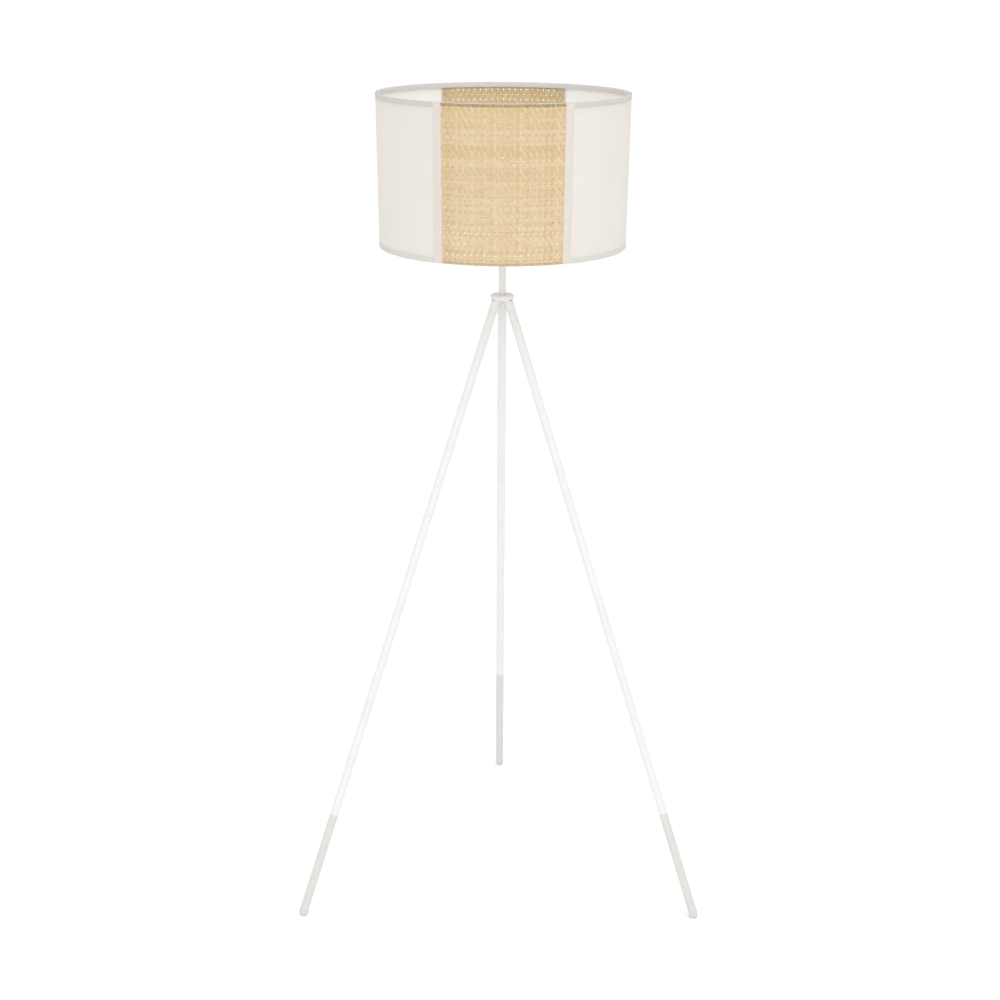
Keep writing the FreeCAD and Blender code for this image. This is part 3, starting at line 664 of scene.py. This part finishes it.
@dataclass
class Stand:
    """The hub, the post and three legs of three screwed tubes, each with a grey end and a rounded foot."""

    leg_radius: float = 8 * MM
    leg_wall: float = 1 * MM
    leg_top_radius: float = 12.6 * MM
    leg_floor_radius: float = 430.5 * MM
    foot_sink: float = 0.45 * MM
    foot_collar: float = 11 * MM
    leg_stub: float = 20 * MM
    rolled_end: float = 0.9 * MM
    bore_lip: float = 0.2 * MM
    tube_steps: int = 40
    hub_underside: float = field(init=False)
    legs: dict[str, tuple[float, float]] = field(init=False)

    def __post_init__(self) -> None:
        """Reads the hub's height, and lists the legs' directions and grey lengths."""
        self.hub_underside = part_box("hub_plate")[0].z
        # The second number is how far up from the foot each leg is warm grey; it differs from leg to leg.
        self.legs = {"back": (90, 281 * MM), "left": (210, 208 * MM), "right": (330, 214 * MM)}

    def leg_matrix(self, azimuth: float) -> Matrix:
        """Works out a leg's own frame: its origin is the foot's tip, and its Z runs up the leg.

        Args:
            azimuth: the leg's direction, in degrees.

        Returns:
            The matrix from the leg's frame to the lamp's.
        """
        run = self.leg_floor_radius - self.leg_top_radius
        lean = math.atan2(run, self.hub_underside)
        turn = Matrix.Rotation(math.radians(azimuth), 4, "Z") @ Matrix.Rotation(-lean, 4, "Y")
        outwards = Vector((math.cos(math.radians(azimuth)), math.sin(math.radians(azimuth)), 0))
        tip = outwards * self.leg_floor_radius - turn.to_3x3() @ Vector((0, 0, self.foot_sink))
        return Matrix.Translation(tip) @ turn

    def section_length(self) -> float:
        """Works out the length of each of a leg's three equal tubes.

        Returns:
            The length, in metres.
        """
        run = self.leg_floor_radius - self.leg_top_radius
        whole = math.hypot(run, self.hub_underside) + self.foot_sink
        return (whole - self.foot_collar - self.leg_stub) / 3

    def tube(self, low: float, high: float, grey_line: float) -> BMesh:
        """Makes one tube along Z with rolled ends, its faces below the grey line numbered for the warm grey
        paint.

        Args:
            low: the height of its lower end.
            high: the height of its upper end.
            grey_line: the height below which the tube is warm grey.

        Returns:
            The tube.
        """
        outer, roll = self.leg_radius, self.rolled_end
        inner = outer - self.leg_wall
        curve = ((0.55 * roll, 0.0), (0.15 * roll, 0.45 * roll))  # in from the wall, and in from the end
        heights = [low + roll, high - roll]
        if low + roll < grey_line < high - roll:
            heights.insert(1, grey_line)
        outline = [(inner, low + self.bore_lip)]
        outline += [(outer - inwards, low + rise) for inwards, rise in curve]
        outline += [(outer, height) for height in heights]
        outline += [(outer - inwards, high - rise) for inwards, rise in reversed(curve)]
        outline.append((inner, high - self.bore_lip))
        mesh = bmesh.new()
        lathe(mesh, outline, self.tube_steps)
        for face in mesh.faces:
            face.material_index = int(face.calc_center_median().z < grey_line)
        return mesh

    def build(self) -> None:
        """Makes the leg tubes and dresses the pieces that keep their shape."""
        length = self.section_length()
        finishes = (WHITE_STEEL, GREY_LOWER_LEGS)
        for side, (azimuth, grey_line) in self.legs.items():
            place = self.leg_matrix(azimuth)
            for number, name in enumerate(("lower", "middle", "upper")):
                low = self.foot_collar + number * length
                mesh = self.tube(low, low + length, grey_line)
                bmesh.ops.transform(mesh, matrix=place, verts=mesh.verts[:])
                packed = [f"{side}_leg_{name}"]
                hand_over(mesh, f"{side}_{name}_tube", finishes, "stand", packed)
            dress(WHITE_STEEL, f"{side}_leg_stub")
            dress(GREY_FOOT, f"{side}_foot")
        dress(WHITE_STEEL, "hub_plate", "post_tube")
        dress(WHITE_RUBBER, "cable_bush")
        dress(ZINC, "post_lower_nipple", "post_upper_nipple")
        for joint in ("lower", "upper", "hub"):
            dress(ZINC, f"{joint}_joint_bushes", f"{joint}_joint_studs")


@dataclass
class Lampholder:
    """The lampholder on the post: its cap, threaded skirt, contacts and wires."""

    skirt_radius: float = 19.6 * MM
    skirt_bore: float = 14.4 * MM
    thread_pitch: float = 2.5 * MM
    thread_depth: float = 0.6 * MM
    plain_collar: float = 3.5 * MM
    lip: float = 0.4 * MM
    thread_margin: float = 0.5 * MM

    def build(self) -> None:
        """Makes the skirt with its screw thread, and dresses the rest."""
        low, high = (corner.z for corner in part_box("lampholder_skirt"))
        root = self.skirt_radius - self.thread_depth
        lip, thread_low, thread_high = self.lip, low + self.plain_collar, high - self.thread_margin
        mesh = bmesh.new()
        lathe(
            mesh,
            [
                (self.skirt_bore, low),
                (self.skirt_radius, low),
                (self.skirt_radius, thread_low - lip),
                (root, thread_low),
                (root, high - lip),
                (root - lip, high),
                (self.skirt_bore + lip, high),
                (self.skirt_bore, high - lip),
            ],
        )
        wind_thread(mesh, root, self.skirt_radius, thread_low, thread_high, self.thread_pitch)
        packed = ["lampholder_skirt"]
        hand_over(mesh, "threaded_skirt", [WHITE_PLASTIC], "stand", packed)
        dress(WHITE_PLASTIC, "lampholder_cap", "shade_ring")
        dress(CERAMIC, "lampholder_insert")
        dress(ZINC, "lampholder_locking_screw")
        dress(BRASS, "live_terminal", "centre_contact", "side_contacts")
        dress(BROWN_PVC, "live_wire")
        dress(BLUE_PVC, "neutral_wire")


@dataclass
class Bulb:
    """The pear-shaped opal bulb with its rolled E27 cap."""

    cap_radius: float = 13.2 * MM
    thread_pitch: float = 25.4 / 7 * MM
    thread_depth: float = 0.9 * MM
    wall: float = 0.5 * MM
    shoulder: float = 2 * MM
    heel: float = 1.2 * MM
    heel_inside: float = 2.2 * MM
    bead_start: float = 2.4 * MM  # how far below the rim the wall starts to widen for the glass
    bead_full: float = 1.6 * MM
    bead_inside: float = 3 * MM

    def build(self) -> None:
        """Makes the cap with its rolled thread, and dresses the rest."""
        low, high = (corner.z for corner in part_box("bulb_cap"))
        root = self.cap_radius - self.thread_depth
        inner = root - self.wall
        mesh = bmesh.new()
        lathe(
            mesh,
            [
                (inner - self.heel_inside, low),
                (root - self.heel, low),
                (root, low + self.shoulder),
                (root, high - self.bead_start),
                (self.cap_radius, high - self.bead_full),
                (self.cap_radius, high),
                (self.cap_radius - self.wall, high),
                (inner, high - self.bead_inside),
                (inner, low + self.shoulder),
                (inner - self.heel_inside, low + self.wall),
            ],
        )
        ends = (low + self.shoulder, high - self.bead_start)
        wind_thread(mesh, root, self.cap_radius, *ends, self.thread_pitch)
        hand_over(mesh, "rolled_bulb_cap", [NICKEL], "bulb", ["bulb_cap"])
        dress(OPAL, "bulb_glass")
        dress(BLACK_VITRITE, "bulb_insulator")
        dress(BRASS, "bulb_contact")


@dataclass
class CaneWeave:
    """How the cane is woven: paired level strands cross single uprights, with holes between the pairs."""

    upright_width: float = 4.2 * MM
    level_width: float = 3.6 * MM
    repeat: float = 18.2 * MM
    gaps: tuple[float, ...] = (2.3 * MM, 0.1 * MM, 1.3 * MM, 0.1 * MM)
    sway: float = 0.5 * MM
    strand_gauge: float = 0.72 * MM
    crown: float = 0.14 * MM
    uprights: int = 44
    edge: float = 1.2 * MM
    flatness: float = 1.7  # how flat an upright lies between two crossings
    repeat_steps: int = 8
    map_rows: int = 3  # the room each strand has on the flat map, so that no two share their fibres
    seed: int = 7


@dataclass
class Drum:
    """The shade: cane front and back, cloth at the sides, seam strips, hems, bindings and ring wires."""

    base_radius: float = 221.5 * MM
    cane_angle: float = 61.2
    cane_gauge: float = 1.6 * MM
    cloth_gauge: float = 1.0 * MM
    seam_angle: float = 4.0
    seam_centre: float = 29.5
    seam_gauge: float = 0.6 * MM
    hem_height: float = 9 * MM
    hem_gauge: float = 0.5 * MM
    hem_cloth_gauge: float = 0.25 * MM
    hem_turn: float = 1.2 * MM
    tape_gauge: float = 0.4 * MM
    tape_foot: float = 2 * MM
    wire_radius: float = 2 * MM
    wire_play: float = 0.1 * MM
    cloth_steps: int = 48
    cloth_rows: int = 8
    cloth_inset: float = 0.4 * MM
    seam_inset: float = 0.3 * MM
    seam_edge: float = 0.12 * MM
    seam_cloth_gauge: float = 0.1 * MM
    seam_steps: tuple[int, int] = (12, 24)
    bend_steps: int = 8
    base: float = field(init=False)
    top: float = field(init=False)
    top_radius: float = field(init=False)
    weave: CaneWeave = field(init=False)

    def __post_init__(self) -> None:
        """Reads the drum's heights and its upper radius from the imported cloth."""
        low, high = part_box("left_fabric_panel")
        self.base, self.top, self.top_radius = low.z, high.z, -low.x
        self.weave = CaneWeave()

    def radius(self, height: float) -> float:
        """The wall's outside radius at a height."""
        climb = self.top - self.base
        return self.base_radius + (self.top_radius - self.base_radius) * (height - self.base) / climb

    def edge_height(self, end: Edge) -> float:
        """The height of one of the drum's edges."""
        return self.top if end is Edge.TOP else self.base

    def spot(self, angle: float, height: float, outwards: float) -> Vector:
        """Finds a point on the drum or near it.

        Args:
            angle: its azimuth, in degrees.
            height: its height.
            outwards: how far it is outside the wall's outer face.

        Returns:
            The point.
        """
        reach = self.radius(height) + outwards
        turn = math.radians(angle)
        return Vector((reach * math.cos(turn), reach * math.sin(turn), height))

    def strip(
        self, first: float, last: float, section: Sequence[tuple[float, float]], gauge: float, steps: int
    ) -> BMesh:
        """Makes a strip of cloth round the wall.

        Args:
            first: the azimuth where it starts, in degrees.
            last: the azimuth where it ends, further round.
            section: its cut face from bottom to top, as distance outside the wall and height.
            gauge: its thickness, inwards.
            steps: the number of faces along it.

        Returns:
            The strip.
        """
        rises = [math.dist(a, b) for a, b in zip(section, section[1:])]
        climbed = [sum(rises[:i]) for i in range(len(section))]
        length = self.radius((self.base + self.top) / 2) * math.radians(last - first)
        rows = len(section) - 1

        def place(along: float, up: float) -> Vector:
            """Where a point of the strip goes."""
            outwards, height = section[round(up * rows)]
            return self.spot(first + (last - first) * along, height, outwards)

        def spread(along: float, up: float) -> tuple[float, float]:
            """The same point on the flat strip."""
            return along * length, climbed[round(up * rows)]

        mesh = bmesh.new()
        pull_sheet(mesh, steps, rows, place, spread, gauge)
        return mesh

    def cane_panel(self, middle: float) -> BMesh:
        """Weaves one cane panel.

        Args:
            middle: the azimuth of its middle, in degrees.

        Returns:
            The panel.
        """
        weave = self.weave
        dice = random.Random(weave.seed + round(middle))
        half = self.cane_angle / 2
        face_radius = self.radius((self.base + self.top) / 2)
        width = math.radians(self.cane_angle) * face_radius
        pitch = width / weave.uprights
        lift = (self.cane_gauge - weave.strand_gauge - weave.crown) / 2
        centre = -self.cane_gauge / 2 + weave.strand_gauge / 2
        start, stop = self.base + weave.edge, self.top - weave.edge
        mesh = bmesh.new()

        def upright(number: int, scale: float) -> Callable[[float, float], Vector]:
            """Lays out an upright strand.

            Args:
                number: its number, from the panel's start.
                scale: its width, against the usual.

            Returns:
                What tells where each of its points goes.
            """
            side = -1 if number % 2 else 1

            def place(across: float, up: float) -> Vector:
                """Where the point at shares across and up the strand goes."""
                height = start + (stop - start) * up
                phase = math.tau * (height - self.base) / weave.repeat
                shift = side * weave.sway * math.cos(phase)
                offset = (number + 0.5) * pitch + shift + (across - 0.5) * weave.upright_width * scale
                over = max(-1.0, min(1.0, weave.flatness * math.sin(phase))) * side * lift
                crown = weave.crown * (1 - abs(2 * across - 1))
                angle = middle - half + math.degrees(offset / face_radius)
                return self.spot(angle, height, centre + over + crown)

            return place

        def level(number: int, middle_height: float, scale: float) -> Callable[[float, float], Vector]:
            """Lays out a level strand.

            Args:
                number: its number, from the base.
                middle_height: the height of its middle.
                scale: its width, against the usual.

            Returns:
                What tells where each of its points goes.
            """
            side = 1 if (number // 2) % 2 else -1

            def place(along: float, across: float) -> Vector:
                """Where the point at shares along and across the strand goes."""
                height = middle_height + (across - 0.5) * weave.level_width * scale
                over = side * math.sin(math.pi * weave.uprights * along) * lift
                crown = weave.crown * (1 - abs(2 * across - 1))
                angle = middle - half + self.cane_angle * along
                return self.spot(angle, max(self.base, min(self.top, height)), centre + over + crown)

            return place

        samples = round(weave.repeat_steps * (stop - start) / weave.repeat)
        for number in range(weave.uprights):
            row = number * weave.map_rows * pitch
            pull_sheet(
                mesh,
                2,
                samples,
                upright(number, dice.uniform(0.95, 1.04)),
                lambda across, up, row=row: (up * (stop - start), row + across * weave.upright_width),
                weave.strand_gauge,
                dice.random(),
            )
        height = self.base + weave.gaps[0] / 2 + weave.level_width / 2
        number = 0
        while height < self.top - weave.level_width / 2:
            row = -number * weave.map_rows * pitch
            pull_sheet(
                mesh,
                2 * weave.uprights,
                2,
                level(number, height, dice.uniform(0.96, 1.03)),
                lambda along, across, row=row: (along * width, row + across * weave.level_width),
                weave.strand_gauge,
                dice.random(),
            )
            number += 1
            height += weave.level_width + weave.gaps[number % len(weave.gaps)]
        return mesh

    def build_cane(self) -> None:
        """Makes the two woven panels."""
        # Colours: cane, fibre and fleck, pale strand, and the folded rows' glue stain with painted shade.
        colours = ("#e8cfa2", "#b89560", "#f6e8c8", "#8f7650")
        skin = CaneSkin("Split cane, natural", *colours, self.base, self.top)
        for name, middle in (("front", -90.0), ("back", 90.0)):
            mesh = self.cane_panel(middle)
            hand_over(mesh, f"{name}_woven_cane", [skin], "shade", [f"{name}_cane_panel"])

    def seam_strip(self, middle: float) -> BMesh:
        """Makes one seam strip: a folded band of cloth with soft edges, laid up the wall.

        Args:
            middle: the azimuth of its middle, in degrees.

        Returns:
            The strip.
        """
        low, high = self.base + self.seam_inset, self.top - self.seam_inset
        length = self.radius(high) * math.radians(self.seam_angle)

        def place(along: float, up: float) -> Vector:
            """Where a point of the strip goes."""
            swell = 1 - abs(2 * along - 1) ** 6
            outwards = self.seam_edge + (self.seam_gauge - self.seam_edge) * swell
            return self.spot(middle + self.seam_angle * (along - 0.5), low + (high - low) * up, outwards)

        def spread(along: float, up: float) -> tuple[float, float]:
            """The same point on the flat strip."""
            return along * length, up * (high - low)

        mesh = bmesh.new()
        pull_sheet(mesh, *self.seam_steps, place, spread, self.seam_cloth_gauge)
        return mesh

    def build_cloth(self) -> None:
        """Makes the cloth panels with the hems and seam strips sewn on them."""
        proud = self.hem_gauge
        height = self.top - self.base
        half = self.cane_angle / 2
        inset, rows = self.cloth_inset, self.cloth_rows
        wall = [(0.0, self.base + inset + (height - 2 * inset) * row / rows) for row in range(rows + 1)]
        hem_end = self.seam_centre + self.seam_angle / 2
        for side, middle in (("right", 0.0), ("left", 180.0)):
            reach = 90 - half
            cloth = self.strip(middle - reach, middle + reach, wall, self.cloth_gauge, self.cloth_steps)
            packed = [f"{side}_fabric_panel"]
            panel = hand_over(cloth, f"{side}_cloth_panel", [PANEL_CLOTH], "shade", packed)
            for end in Edge:
                edge, way = self.edge_height(end), end.value
                section = [  # from the sewn edge, over the fullest part, to the fold at the drum's edge
                    (0.08 * MM, edge + way * self.hem_height),
                    (proud * 0.8, edge + way * (self.hem_height - 0.7 * MM)),
                    (proud, edge + way * self.hem_height * 0.6),
                    (proud * 0.95, edge + way * 2.2 * MM),
                    (proud * 0.7, edge + way * 0.9 * MM),
                    (0.0, edge + way * 0.2 * MM),
                    (-0.9 * MM, edge),
                ]
                if end is Edge.BASE:
                    section.reverse()
                name = end.name.lower()
                # The top hem takes the stronger painted shade and the base hem the fainter.
                hem_cloth = TOP_HEM_PAINTED_SHADE if end is Edge.TOP else BASE_HEM_PAINTED_SHADE
                first, last = middle - 90 + hem_end, middle + 90 - hem_end
                mesh = self.strip(first, last, section, self.hem_cloth_gauge, self.cloth_steps)
                packed = [f"{side}_{name}_hem"]
                hem = hand_over(mesh, f"{side}_{name}_hem_fold", [hem_cloth], "shade", packed)
                flat = (self.radius(edge) * math.radians(last - first), self.hem_height + self.hem_turn)
        for name, middle in (("front", -90.0), ("back", 90.0)):
            for side in ("left", "right"):
                handed = (1 if side == "right" else -1) * (1 if name == "front" else -1)
                mesh = self.seam_strip(middle + handed * self.seam_centre)
                packed = [f"{name}_{side}_seam_strip"]
                piece = hand_over(mesh, f"{name}_{side}_seam_band", [SEAM_CLOTH], "shade", packed)
                width = self.radius(self.top) * math.radians(self.seam_angle)

    def close_ring(self, mesh: BMesh) -> None:
        """Sews the two ends of a full round strip together, with nothing left inside the seam.

        Args:
            mesh: the strip, which starts and ends at azimuth 0.
        """
        near = 0.1 * MM
        ends = [f for f in mesh.faces if all(abs(v.co.y) < near and v.co.x > 0 for v in f.verts)]
        bmesh.ops.delete(mesh, geom=ends, context="FACES")
        bmesh.ops.remove_doubles(mesh, verts=mesh.verts[:], dist=near)

    def build_bindings(self) -> None:
        """Makes the tapes rolled over the ring wires, and dresses the wires and the carrier."""
        outer = -self.cane_gauge - self.wire_play
        inner = outer - 2 * self.wire_radius - self.tape_gauge
        middle = (outer + inner) / 2
        bend = (outer - inner) / 2
        for end in Edge:
            name, edge, way = end.name.lower(), self.edge_height(end), end.value
            section = [(inner, edge + way * (self.hem_height - foot)) for foot in (0.0, self.tape_foot)]
            for step in range(self.bend_steps + 1):
                turn = math.pi * step / self.bend_steps
                section.append((middle - bend * math.cos(turn), edge + way * bend * (1 - math.sin(turn))))
            if end is Edge.TOP:
                section.reverse()
            mesh = self.strip(0, 360, section, self.tape_gauge, 2 * self.cloth_steps)
            self.close_ring(mesh)
            packed = [f"{name}_binding"]
            tape = hand_over(mesh, f"{name}_rolled_tape", [TAPE_PAINTED_SHADE], "shade", packed)
            width = sum(math.dist(a, b) for a, b in zip(section, section[1:]))
            length = math.tau * (self.radius(edge) + middle)
        dress(WIRE_COAT, "carrier_ring", "carrier_arms", "base_ring_wire", "top_ring_wire")

    def build(self) -> None:
        """Makes the whole shade."""
        self.build_cane()
        self.build_cloth()
        self.build_bindings()


@dataclass
class Studio:
    """The white studio: a camera, soft light that is strongest from above in front, and a paper floor."""

    camera_place: tuple[float, float, float] = (0.0, -3.160, 1.783)
    tilt: float = 17.90
    pan: float = 0.034
    roll: float = 0.34
    lens: float = 63.36
    sensor: float = 36.0
    floor_size: float = 120.0
    floor_steps: int = 24
    bright_side: tuple[float, float, float] = (0, -0.5, 0.85)
    dimmest: float = 0.68
    brightest: float = 1.58
    aim: tuple[float, float, float] = (0, 0, 1.1)

    def build_camera(self) -> None:
        """Places the camera."""
        data = bpy.data.cameras.new("Camera")
        data.lens, data.sensor_width = self.lens, self.sensor
        data.clip_end = 2 * self.floor_size
        camera = bpy.data.objects.new("Camera", data)
        turn = Matrix.Rotation(math.radians(self.pan), 4, "Z")
        turn = turn @ Matrix.Rotation(math.radians(90 - self.tilt), 4, "X")
        turn = turn @ Matrix.Rotation(math.radians(self.roll), 4, "Z")
        camera.matrix_world = Matrix.Translation(self.camera_place) @ turn
        bpy.context.scene.collection.objects.link(camera)
        bpy.context.scene.camera = camera

    def build_floor(self) -> None:
        """Lays the paper."""
        mesh = bmesh.new()
        steps = self.floor_steps
        bmesh.ops.create_grid(mesh, x_segments=steps, y_segments=steps, size=self.floor_size / 2)
        data = bpy.data.meshes.new("floor")
        mesh.to_mesh(data)
        mesh.free()
        data.materials.append(PAPER.make())
        floor = bpy.data.objects.new("floor", data)
        bpy.context.scene.collection.objects.link(floor)

    def add_softbox(self, name: str, place: tuple[float, float, float], size: float, watts: float) -> None:
        """Adds a square softbox that faces the shade.

        Args:
            name: its name.
            place: where it stands.
            size: the length of its side.
            watts: its power.
        """
        data = bpy.data.lights.new(name, "AREA")
        data.shape, data.size, data.energy = "SQUARE", size, watts
        lamp = bpy.data.objects.new(name, data)
        lamp.location = place
        facing = Vector(self.aim) - Vector(place)
        lamp.rotation_euler = facing.to_track_quat("-Z", "Y").to_euler()
        bpy.context.scene.collection.objects.link(lamp)

    def build_world(self) -> None:
        """Lights the studio from all round, by a gradient towards the bright side."""
        world = bpy.data.worlds.new("Studio")
        world.use_nodes = True
        tree = world.node_tree
        tree.nodes.clear()
        where = add_node(tree, "TexCoord").outputs["Generated"]
        against = {0: where, 1: Vector(self.bright_side).normalized()}
        facing = add_node(tree, "VectorMath", {"operation": "DOT_PRODUCT"}, against).outputs["Value"]
        limits = {"From Min": -1.0, "From Max": 1.0, "To Min": self.dimmest, "To Max": self.brightest}
        strength = add_node(tree, "MapRange", sockets={"Value": facing} | limits).outputs[0]
        sky = add_node(tree, "Background", sockets={"Strength": strength}).outputs[0]
        add_node(tree, "OutputWorld", sockets={"Surface": sky})
        bpy.context.scene.world = world
        bpy.context.scene.view_settings.view_transform = "Standard"

    def build(self) -> None:
        """Sets up the studio."""
        self.build_camera()
        self.build_floor()
        self.build_world()
        self.add_softbox("key softbox", place=(1.7, -1.3, 3.6), size=1.6, watts=10)
        self.add_softbox("front fill", place=(-0.4, -4.5, 1.4), size=2.5, watts=24)


def main() -> None:
    """Builds the studio and the lamp, in order."""
    logging.basicConfig(level=logging.INFO, format="%(message)s")
    Studio().build()
    for assembly in (Stand(), Lampholder(), Bulb(), Drum()):
        log.info("building %s", type(assembly).__name__)
        assembly.build()


if __name__ == "__main__":
    main()
